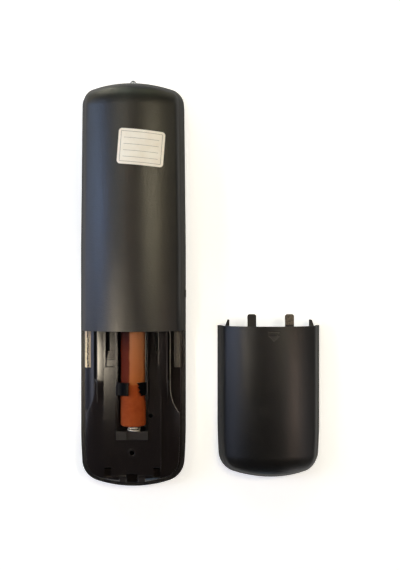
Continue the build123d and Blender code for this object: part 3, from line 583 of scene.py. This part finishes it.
key_rubber = rubber_material("key_rubber", (0.030, 0.030, 0.033))
coloured_rubber = {
    "key_power": rubber_material("red_rubber", (0.50, 0.025, 0.025)),
    "key_red": rubber_material("red_rubber_cap", (0.55, 0.02, 0.02)),
    "key_green": rubber_material("green_rubber", (0.02, 0.26, 0.06)),
    "key_yellow": rubber_material("yellow_rubber", (0.72, 0.48, 0.03)),
    "key_blue": rubber_material("blue_rubber", (0.02, 0.08, 0.42)),
}
looks = {
    "rear_shell": rear_shell_material(),
    "front_shell": satin_plastic(
        "front_shell_plastic", (0.0056, 0.0052, 0.0050), 0.34, rounding=0.25, walls=True
    ),
    "face_panel": satin_plastic(
        "face_panel_plastic", (0.006, 0.006, 0.0065), 0.20, grain=5.0, relief=0.004
    ),
    "battery_cover": cover_material(),
    "battery_tray": tray_material(),
    "keypad_mat": rubber_material("mat_rubber", (0.035, 0.035, 0.038)),
    "circuit_board": board_material(),
    "infrared_diode": clear_resin_material(),
    "controller_chip": satin_plastic(
        "chip_resin", (0.016, 0.016, 0.018), 0.5, grain=6.0, relief=0.008
    ),
    "driver_transistor": satin_plastic(
        "transistor_resin", (0.016, 0.016, 0.018), 0.5, grain=6.0, relief=0.008
    ),
    "ceramic_resonator": satin_plastic("resonator_ceramic", (0.20, 0.11, 0.035), 0.3),
    "small_resistors": satin_plastic("resistor_ceramic", (0.04, 0.04, 0.05), 0.3),
    "storage_capacitor": satin_plastic("capacitor_sleeve", (0.02, 0.03, 0.10), 0.25),
    "lower_cell": cell_material(),
    "negative_spring": metal_material("spring_plating", (0.96, 0.88, 0.74), 0.34, 0.4),
    "positive_contact": metal_material("contact_plating", (0.62, 0.60, 0.56), 0.30),
    "paper_label": paper_material(),
}
looks["upper_cell"] = looks["lower_cell"]
for name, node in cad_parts.items():
    if name.startswith("key_"):
        look = coloured_rubber.get(name, key_rubber)
    else:
        look = looks[name]
    node.data.materials.clear()
    node.data.materials.append(look)


def mesh_piece(name, material, body, builder):
    """A new piece made by a function that fills a bmesh, in metres."""
    shape = bmesh.new()
    builder(shape)
    bmesh.ops.recalc_face_normals(shape, faces=shape.faces)
    mesh = bpy.data.meshes.new(name)
    shape.to_mesh(mesh)
    shape.free()
    piece = bpy.data.objects.new(name, mesh)
    bpy.context.scene.collection.objects.link(piece)
    mesh.materials.append(material)
    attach(piece, body)
    return piece


def arc_points(radius, start_degrees, end_degrees, count=24, centre=(0.0, 0.0)):
    """Points along an arc."""
    step = (end_degrees - start_degrees) / count
    angles = [math.radians(start_degrees + step * i) for i in range(count + 1)]
    return [(centre[0] + radius * math.cos(a), centre[1] + radius * math.sin(a)) for a in angles]


def frame_lines(width, height):
    """A rectangle as a closed line."""
    x, y = width / 2, height / 2
    return [(-x, -y), (x, -y), (x, y), (-x, y), (-x, -y)]


def triangle(centre, size, turn_degrees):
    """A filled triangle that points up before it is turned."""
    corners = [(0, size), (-0.9 * size, -0.6 * size), (0.9 * size, -0.6 * size)]
    angle = math.radians(turn_degrees)
    c, s = math.cos(angle), math.sin(angle)
    return [(centre[0] + x * c - y * s, centre[1] + x * s + y * c) for x, y in corners]


# Lines and filled shapes on the keys, as a viewer of the face sees them, in millimetres
symbols = {
    "key_power": ([arc_points(1.6, 125, 415), [(0, 0.5), (0, 2.2)]], []),
    "key_source": (
        [[(0.2, 1.4), (1.9, 1.4), (1.9, -1.4), (0.2, -1.4)], [(-2.1, 0), (0.2, 0)]],
        [triangle((0.5, 0), 0.7, -90)],
    ),
    "key_ok": ([arc_points(1.5, 0, 360, 32)], [arc_points(0.55, 0, 330, 11)]),
    "key_text": (
        [frame_lines(3.8, 2.5), [(-1.2, 0.45), (1.2, 0.45)], [(-1.2, -0.45), (1.2, -0.45)]],
        [],
    ),
    "key_subtitle": (
        [frame_lines(3.8, 2.5), [(-1.2, -0.55), (-0.2, -0.55)], [(0.3, -0.55), (1.2, -0.55)]],
        [],
    ),
    "key_format": (
        [frame_lines(3.8, 2.5)],
        [triangle((-1.0, 0), 0.45, 90), triangle((1.0, 0), 0.45, -90)],
    ),
    "key_menu": ([[(-1.5, 0.9), (1.5, 0.9)], [(-1.5, 0), (1.5, 0)], [(-1.5, -0.9), (1.5, -0.9)]], []),
    "key_info": ([[(0, -1.3), (0, 0.4)]], [arc_points(0.32, 0, 330, 11, (0, 1.15))]),
    "key_back": (
        [[(-0.9, 0.6), (1.0, 0.6), (1.6, 0.1), (1.6, -0.5), (1.0, -1.0), (-0.8, -1.0)]],
        [triangle((-1.1, 0.6), 0.7, 90)],
    ),
    "key_up": ([], [triangle((0, 0), 1.1, 0)]),
    "key_down": ([], [triangle((0, 0), 1.1, 180)]),
    "key_left": ([], [triangle((0, 0), 1.1, 90)]),
    "key_right": ([], [triangle((0, 0), 1.1, -90)]),
    "key_volume_up": ([[(-1.4, 0), (1.4, 0)], [(0, -1.4), (0, 1.4)]], []),
    "key_volume_down": ([[(-1.4, 0), (1.4, 0)]], []),
    "key_programme_up": ([[(-1.5, -0.7), (0, 0.8), (1.5, -0.7)]], []),
    "key_programme_down": ([[(-1.5, 0.7), (0, -0.8), (1.5, 0.7)]], []),
    "key_mute": (
        [[(0.7, -0.7), (2.0, 0.7)], [(0.7, 0.7), (2.0, -0.7)]],
        [[(-1.9, -0.55), (-1.1, -0.55), (-0.1, -1.4), (-0.1, 1.4), (-1.1, 0.55), (-1.9, 0.55)]],
    ),
    "key_list": (
        [[(-0.7, 1.0), (1.7, 1.0)], [(-0.7, 0), (1.7, 0)], [(-0.7, -1.0), (1.7, -1.0)]],
        [arc_points(0.26, 0, 330, 11, (-1.5, y)) for y in (1.0, 0.0, -1.0)],
    ),
    "key_swap": (
        [[(-1.6, 0.7), (1.0, 0.7)], [(1.6, -0.7), (-1.0, -0.7)]],
        [triangle((1.2, 0.7), 0.6, -90), triangle((-1.2, -0.7), 0.6, 90)],
    ),
}


def add_outline(shape, points, centre, thickness):
    """A flat closed outline on a key's face, with a little thickness."""
    low_z = (key_face_z - thickness) * MM
    low = [Vector((centre[0] - x * MM, centre[1] + y * MM, low_z)) for x, y in points]
    bottom = [shape.verts.new(p) for p in low]
    top = [shape.verts.new(p + Vector((0, 0, 2 * thickness * MM))) for p in low]
    shape.faces.new(bottom)
    shape.faces.new(list(reversed(top)))
    count = len(points)
    for i in range(count):
        j = (i + 1) % count
        shape.faces.new((bottom[i], top[i], top[j], bottom[j]))


def add_stroke(shape, points, centre, width, thickness):
    """A line of even width with mitred corners, from first point to last."""
    closed = points[0] == points[-1]
    line = points[:-1] if closed else points
    count = len(line)
    left, right = [], []
    for i, (x, y) in enumerate(line):
        before = line[i - 1] if i > 0 or closed else (x, y)
        after = line[(i + 1) % count] if i < count - 1 or closed else (x, y)
        ways = []
        for a, b in ((before, (x, y)), ((x, y), after)):
            way = Vector((b[0] - a[0], b[1] - a[1]))
            if way.length > 1e-6:
                ways.append(way.normalized())
        mean = (ways[0] + ways[-1]).normalized()
        side = Vector((-mean.y, mean.x))
        spread = width / 2 / max(0.35, side.dot(Vector((-ways[0].y, ways[0].x))))
        left.append((x + side.x * spread, y + side.y * spread))
        right.append((x - side.x * spread, y - side.y * spread))
    spans = count if closed else count - 1
    for i in range(spans):
        j = (i + 1) % count
        add_outline(shape, [left[i], left[j], right[j], right[i]], centre, thickness)


white_ink = print_material("white_ink", (0.72, 0.72, 0.70))


def key_centre(name):
    """The middle of a key's face, in metres."""
    low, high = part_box(name)
    return ((low[0] + high[0]) / 2, (low[1] + high[1]) / 2)


for name, (lines, fills) in symbols.items():
    middle = key_centre(name)

    def draw(shape, lines=lines, fills=fills, middle=middle):
        for points in lines:
            add_stroke(shape, points, middle, stroke, ink_thickness)
        for points in fills:
            add_outline(shape, points, middle, ink_thickness)

    mesh_piece("symbol_" + name[4:], white_ink, name + "_body", draw)

for digit in "1234567890":
    name = "key_" + digit
    middle = key_centre(name)
    curve = bpy.data.curves.new("digit_" + digit, "FONT")
    curve.body = digit
    curve.size = digit_size * MM
    curve.align_x = "CENTER"
    curve.align_y = "CENTER"
    curve.extrude = ink_thickness * MM
    curve.offset = digit_swell * MM
    piece = bpy.data.objects.new("digit_" + digit, curve)
    bpy.context.scene.collection.objects.link(piece)
    spot = Matrix.Translation((middle[0], middle[1], key_face_z * MM))
    piece.matrix_world = spot @ Matrix.Rotation(math.pi, 4, "Y")
    curve.materials.append(white_ink)
    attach(piece, name + "_body")


def rail_profile():
    """A section across a rail's crowned top and outer edge: offsets from the case's axis, and heights."""
    middle = (panel_half_width + rail_outer_x) / 2
    half = (rail_outer_x - panel_half_width) / 2
    points = []
    for i in range(rail_columns + 1):
        across = -1 + 2 * i / rail_columns
        points.append((middle + across * half, panel_top_z + rail_skin - rail_crown * across**2))
    for i in range(1, 5):
        turn = math.radians(22.5 * i)
        points.append(
            (
                rail_outer_x + rail_edge_radius * math.sin(turn),
                panel_top_z - rail_edge_drop + rail_edge_radius * math.cos(turn),
            )
        )
    points.append((rail_outer_x + rail_edge_radius, panel_top_z - rail_side_depth))
    return points


def draw_rail(shape, side):
    """A gently crowned rail beside the bay's panel, which sinks away at its lower end."""
    profile = rail_profile()
    stations = [(bay_edge_y + rail_tuck, 0.0), (rail_foot_y + rail_straight_end, 0.0)]
    for i in range(rail_rows + 1):
        t = i / rail_rows
        stations.append((rail_foot_y - rail_run_out * t, t * t))
    rows = []
    for y, drop in stations:
        row = []
        for offset, z in profile:
            x = case_x + side * offset
            row.append(shape.verts.new((x * MM, y * MM, (z - rail_drop * drop) * MM)))
        rows.append(row)
    for a, b in zip(rows, rows[1:]):
        for i in range(len(profile) - 1):
            shape.faces.new((a[i], a[i + 1], b[i + 1], b[i]))


def close_tube(shape, rings):
    """Walls between rings of corners, and a lid on either end."""
    count = len(rings[0])
    for a, b in zip(rings, rings[1:]):
        for i in range(count):
            j = (i + 1) % count
            shape.faces.new((a[i], a[j], b[j], b[i]))
    shape.faces.new(rings[0])
    shape.faces.new(list(reversed(rings[-1])))


def draw_slope(shape):
    """The floor of the left side pocket, which slopes down and outward in a shallow curve."""
    rings = []
    for y in (bay_edge_y + slope_tuck, bay_edge_y - slope_length):
        section = []
        for i in range(slope_columns + 1):
            t = i / slope_columns
            offset = slope_inner_x + (slope_outer_x - slope_inner_x) * t
            z = slope_high_z - (slope_high_z - slope_low_z) * (t - slope_sag * t * (1 - t))
            section.append((offset, z))
        section += [(slope_outer_x, slope_base_z), (slope_inner_x, slope_base_z)]
        rings.append([shape.verts.new(((case_x - offset) * MM, y * MM, z * MM)) for offset, z in section])
    close_tube(shape, rings)


def bead_line():
    """The edge between the right rail and its side pocket, which swings outward at its foot."""
    points = [(pocket_edge_x, bay_edge_y + bead_tuck - bead_straight * i / 12) for i in range(13)]
    for i in range(1, 11):
        turn = pocket_bend_turn * i / 10
        points.append(
            (
                pocket_edge_x + pocket_bend_radius * (1 - math.cos(turn)),
                bay_edge_y - pocket_bend_down - pocket_bend_radius * math.sin(turn),
            )
        )
    return points


def draw_bead(shape):
    """A thin raised lip along that edge, on the moulding's own height there."""
    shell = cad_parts["rear_shell"]
    rings = []
    for offset, y in bead_line():
        x = case_x + offset
        start = Vector(((x - probe_inset) * MM, y * MM, probe_height * MM))
        found, spot, _, _ = shell.ray_cast(start, Vector((0, 0, -1)))
        height = spot.z / MM if found else probe_missed_z
        ring = []
        for i in range(bead_sides):
            turn = 2 * math.pi * i / bead_sides
            across = x - bead_sink + bead_radius * math.cos(turn)
            upward = height - bead_sink + bead_radius * math.sin(turn)
            ring.append(shape.verts.new((across * MM, y * MM, upward * MM)))
        rings.append(ring)
    close_tube(shape, rings)


# The lip is painted pale as a highlight along the right pocket's edge
lip_highlight_plastic = satin_plastic("lip_highlight_plastic", (0.130, 0.120, 0.108), 0.3, grain=1.5, relief=0.01)
bead = mesh_piece("pocket_lip", lip_highlight_plastic, "remote_body", draw_bead)
for face in bead.data.polygons:
    face.use_smooth = len(face.vertices) == 4

slope_plastic = satin_plastic(
    "slope_plastic", (0.0060, 0.0054, 0.0060), 0.24, grain=0.5, relief=0.008, spread=0.2
)
mesh_piece("pocket_slope", slope_plastic, "remote_body", draw_slope)

rail_plastic = satin_plastic(
    "rail_plastic", (0.0098, 0.0078, 0.0078), 0.10, grain=0.5, relief=0.002, spread=0.2
)
for side, word in ((-1, "left"), (1, "right")):

    def draw(shape, side=side):
        draw_rail(shape, side)

    rail = mesh_piece("rail_" + word, rail_plastic, "remote_body", draw)
    for face in rail.data.polygons:
        face.use_smooth = True


def label_point(across, along):
    """A point on the label's face, from its own centre, in metres."""
    c, s = math.cos(label_turn), math.sin(label_turn)
    x = label_x + across * c - along * s
    y = label_y + across * s + along * c
    offset = x - case_x
    radius = back_arch_radius + label_rise
    z = back_top - back_arch_radius + math.sqrt(radius**2 - offset**2)
    return Vector((x * MM, y * MM, (z + line_lift) * MM))


def ruled_line(shape, start, end, width):
    """A thin printed line that follows the curved label."""
    way = Vector((end[0] - start[0], end[1] - start[1])).normalized()
    side = Vector((-way.y, way.x)) * width / 2
    rows = []
    for i in range(line_steps + 1):
        t = i / line_steps
        x = start[0] + (end[0] - start[0]) * t
        y = start[1] + (end[1] - start[1]) * t
        rows.append(
            (
                shape.verts.new(label_point(x + side.x, y + side.y)),
                shape.verts.new(label_point(x - side.x, y - side.y)),
            )
        )
    for a, b in zip(rows, rows[1:]):
        shape.faces.new((a[0], a[1], b[1], b[0]))


def draw_label(shape):
    """A thin border and four lines to write on; the label is left blank otherwise."""
    half_x = label_width / 2 - border_margin
    half_y = label_length / 2 - border_margin
    corners = [(-half_x, -half_y), (half_x, -half_y), (half_x, half_y), (-half_x, half_y)]
    for a, b in zip(corners, corners[1:] + corners[:1]):
        ruled_line(shape, a, b, border_width)
    for row in range(4):
        y = half_y - line_pitch * (row + 1)
        ruled_line(shape, (-half_x + line_inset, y), (half_x - line_inset, y), line_width)


grey_ink = print_material("grey_ink", (0.25, 0.24, 0.23))
mesh_piece("label_lines", grey_ink, "remote_body", draw_label)


def plane(name, size, material):
    """A square sheet that lies level, about the origin."""
    half = size / 2
    corners = [(-half, -half, 0), (half, -half, 0), (half, half, 0), (-half, half, 0)]
    mesh = bpy.data.meshes.new(name)
    mesh.from_pydata(corners, [], [(0, 1, 2, 3)])
    sheet = bpy.data.objects.new(name, mesh)
    bpy.context.scene.collection.objects.link(sheet)
    mesh.materials.append(material)
    return sheet


def floor_material():
    """A plain pale floor that the camera sees as white, and that keeps soft shadows."""
    material, shader = new_material("floor_white")
    shader.inputs["Base Color"].default_value = (0.86, 0.86, 0.86, 1.0)
    shader.inputs["Roughness"].default_value = 0.9
    shader.inputs["Specular IOR Level"].default_value = 0.1
    nodes = material.node_tree.nodes
    output = [n for n in nodes if n.type == "OUTPUT_MATERIAL"][0]
    path = add(material, "ShaderNodeLightPath")
    rays = [path.outputs["Is %s Ray" % kind] for kind in ("Camera", "Glossy", "Transmission")]
    seen = math_node(material, "MINIMUM", total(material, *rays), 1.0)
    glow = add(material, "ShaderNodeEmission")
    link(material, product(material, seen, floor_glow), glow.inputs["Strength"])
    both = add(material, "ShaderNodeAddShader")
    link(material, shader.outputs["BSDF"], both.inputs[0])
    link(material, glow.outputs["Emission"], both.inputs[1])
    link(material, both.outputs["Shader"], output.inputs["Surface"])
    return material


floor = plane("floor", 4.0, floor_material())
floor.location.z = -0.2 * MM

# The camera sees a white room. Glossy and clear surfaces see only its lowest part as white.
world = bpy.data.worlds.new("studio")
bpy.context.scene.world = world
world.use_nodes = True
background = world.node_tree.nodes["Background"]
background.inputs["Color"].default_value = (1.0, 0.985, 0.96, 1.0)
path = add(world, "ShaderNodeLightPath")
way = axis_values(world, add(world, "ShaderNodeTexCoord").outputs["Generated"])
low_part = remap(world, way[2], room_white_top, room_dark_foot, 1.0, 0.0)
mirrored = total(world, path.outputs["Is Glossy Ray"], path.outputs["Is Transmission Ray"])
mirrored = product(world, math_node(world, "MINIMUM", mirrored, 1.0), low_part)
strength = math_node(world, "MAXIMUM", path.outputs["Is Camera Ray"], mirrored)
strength = math_node(world, "MAXIMUM", strength, room_level)
link(world, strength, background.inputs["Strength"])


def softbox(name, place_mm, radius_mm, glow, spread=180.0, aim_mm=(0.0, 0.0, 0.0)):
    """A round lamp that faces a point, with its glow in red, green and blue; a small spread is a grid."""
    lamp = bpy.data.lights.new(name, "AREA")
    lamp.shape = "DISK"
    lamp.size = 2 * radius_mm * MM
    lamp.spread = math.radians(spread)
    strongest = max(glow)
    lamp.energy = strongest * (math.pi * radius_mm * MM) ** 2
    if spread < 180.0:
        half = math.radians(spread) / 2
        lamp.energy *= 1 - half / math.tan(half)
    lamp.color = tuple(value / strongest for value in glow)
    thing = bpy.data.objects.new(name, lamp)
    bpy.context.scene.collection.objects.link(thing)
    start = Vector(place_mm) * MM
    away = start - Vector(aim_mm) * MM
    turn = away.to_track_quat("Z", "Y").to_matrix().to_4x4()
    thing.matrix_world = Matrix.Translation(start) @ turn


# Large soft lamps all round the table
softbox("head_left", (-587, 1017, 249), 190, (10.0, 9.7, 7.6))
softbox("head_middle", (-269, 1004, 600), 190, (3.4, 3.9, 3.1))
softbox("head_right", (269, 1004, 600), 190, (2.4, 2.6, 1.6))
softbox("head_low", (0, 1174, 249), 190, (0.6, 0.6, 0.9))
softbox("head_far_right", (587, 1017, 249), 190, (2.1, 1.9, 1.3))
softbox("window_high", (-1004, 269, 600), 190, (3.2, 4.3, 6.2))
softbox("window_low", (-1174, 0, 249), 190, (3.5, 3.7, 4.8))
softbox("window_corner", (-1017, 587, 249), 190, (2.0, 1.7, 1.1))
softbox("right_low", (1017, 587, 249), 190, (1.2, 1.2, 1.0))
softbox("right_side", (1004, -269, 600), 190, (1.0, 0.95, 1.0))
softbox("foot_low", (0, -1174, 249), 190, (0.7, 1.0, 1.3))
softbox("foot_right", (587, -1017, 249), 190, (2.2, 2.1, 2.1))

# Smaller soft lamps, most of them nearer, which draw the bands on the arched back and on the cover
softbox("window_foot", (-880, -160, 740), 120, (2.8, 2.9, 3.6))
softbox("window_edge", (-913, 135, 766), 105, (6.7, 9.3, 16.0))
softbox("band_far_left", (-320, 100, 470), 40, (8.4, 6.7, 5.5))
softbox("band_left", (-220, 100, 470), 40, (3.6, 5.7, 6.0))
softbox("band_middle", (-130, 200, 470), 40, (6.1, 6.1, 4.8))
softbox("band_low", (-130, 100, 470), 40, (6.9, 4.0, 2.4))
softbox("band_centre", (110, 100, 470), 40, (5.7, 5.1, 3.0))
softbox("band_right", (200, 100, 470), 40, (34.0, 30.0, 21.0))
softbox("band_far_right", (300, 100, 470), 40, (6.2, 5.3, 2.8))
softbox("cover_band", (300, -100, 470), 40, (2.9, 3.1, 3.4))
softbox("cover_edge", (764, -161, 911), 105, (4.3, 2.6, 1.7))
softbox("cover_side", (895, 273, 751), 105, (4.0, 3.6, 2.6))
softbox("overhead", (208, 0, 1182), 105, (1.7, 1.3, 1.8))

# Gridded lamps, each of which lights one place only: part of the bay, back or cover, or the label
softbox("bay_left", (-255, -160, 1200), 60, (64.0, 56.5, 44.0), 5.0, (-50, -38, 14))
softbox("back_low", (-172, -48, 300), 30, (62.0, 52.5, 39.0), 17.0, (-35.4, -28, 22))
softbox("label_light", (-25, -880, 560), 40, (440.0, 431.0, 418.0), 5.0, (-25, 72, 22))
softbox("back_high", (-145, 147, 300), 20, (16.0, 14.5, 11.0), 9.0, (-34, 72, 22))
softbox("cover_glow", (313, -106, 300), 30, (17.0, 14.0, 12.0), 14.0, (40, -46, 13))

camera_data = bpy.data.cameras.new("camera")
camera_data.sensor_fit = "VERTICAL"
camera_data.sensor_height = 36.0
camera_data.lens = focal_pixels * camera_data.sensor_height / frame_height_pixels
camera_data.clip_start = 0.01
camera_data.clip_end = 20.0
camera = bpy.data.objects.new("camera", camera_data)
bpy.context.scene.collection.objects.link(camera)
camera.location = Vector(camera_place) * MM
bpy.context.scene.camera = camera

bpy.context.scene.view_settings.view_transform = "Standard"
